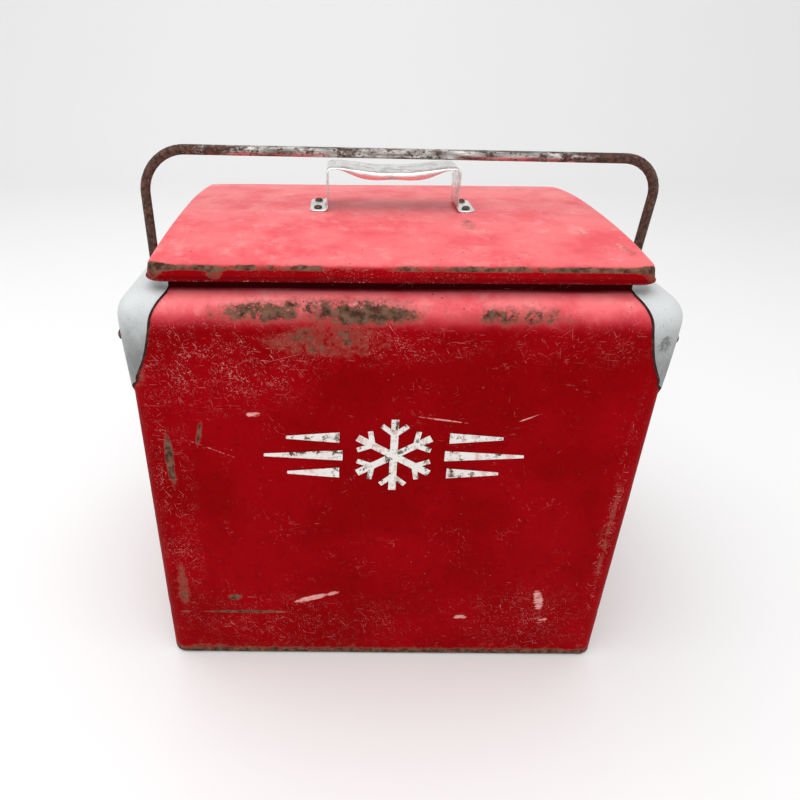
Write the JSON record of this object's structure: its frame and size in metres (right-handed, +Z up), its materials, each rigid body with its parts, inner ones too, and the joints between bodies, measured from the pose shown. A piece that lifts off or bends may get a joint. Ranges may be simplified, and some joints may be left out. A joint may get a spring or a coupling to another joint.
{
  "type": "picnic drinks cooler",
  "caption": "Insulated pressed-steel picnic cooler chest with a lift-off arched lid, a strap handle, pale end caps and a swinging carrying bail.",
  "frame": {"origin": "centre of the base, on the surface the cooler stands on", "axes": "+X to the right seen from the front, +Y from front to back, +Z up"},
  "size_m": [0.49, 0.339, 0.5008],
  "materials": {
    "red_paint": "worn gloss enamel with rust",
    "cap_paint": "chalky gloss paint with grime",
    "emblem_paint": "chipped gloss paint",
    "galvanised_steel": "zinc spangle",
    "screw_steel": "rusted",
    "strap_metal": "worn satin",
    "bail_steel": "worn plating with rust",
    "insulation": "glass wool",
    "rubber": "aged matt"
  },
  "bodies": {
    "chest": {"outer_shell": "red_paint", "bottom_pan": "red_paint", "inner_liner": "galvanised_steel", "wall_insulation": "insulation", "right_end_cap": "cap_paint", "left_end_cap": "cap_paint", "end_cap_screws": "screw_steel", "pivot_bolts": "screw_steel", "pivot_spacers": "screw_steel", "pivot_backing_plates": "screw_steel", "pivot_nuts": "screw_steel", "drain_spout": "galvanised_steel", "drain_washer": "rubber", "drain_locknut": "screw_steel", "front_emblem": "emblem_paint", "rear_emblem": "emblem_paint"},
    "lid": {"lid_shell": "red_paint", "lid_liner": "galvanised_steel", "lid_insulation": "insulation", "lid_gasket": "rubber", "lid_handle": "strap_metal", "lid_handle_screws": "screw_steel", "lid_handle_backing_plates": "screw_steel", "lid_handle_nuts": "screw_steel"},
    "bail": {"bail_handle": "bail_steel"},
    "plug": {"drain_plug": "rubber"}
  },
  "joints": [
    {"name": "bail_swing", "type": "hinge", "parent": "chest", "child": "bail", "pos_m": [0, 0, 0.246], "axis": [1, 0, 0], "range_deg": [-134, 134]},
    {"name": "lid_lift", "type": "slide", "parent": "chest", "child": "lid", "axis": [0, 0, 1], "range_m": [0, 0.003]},
    {"name": "drain_plug_pull", "type": "slide", "parent": "chest", "child": "plug", "axis": [-1, 0, 0], "range_m": [0, 0.02]}
  ]
}
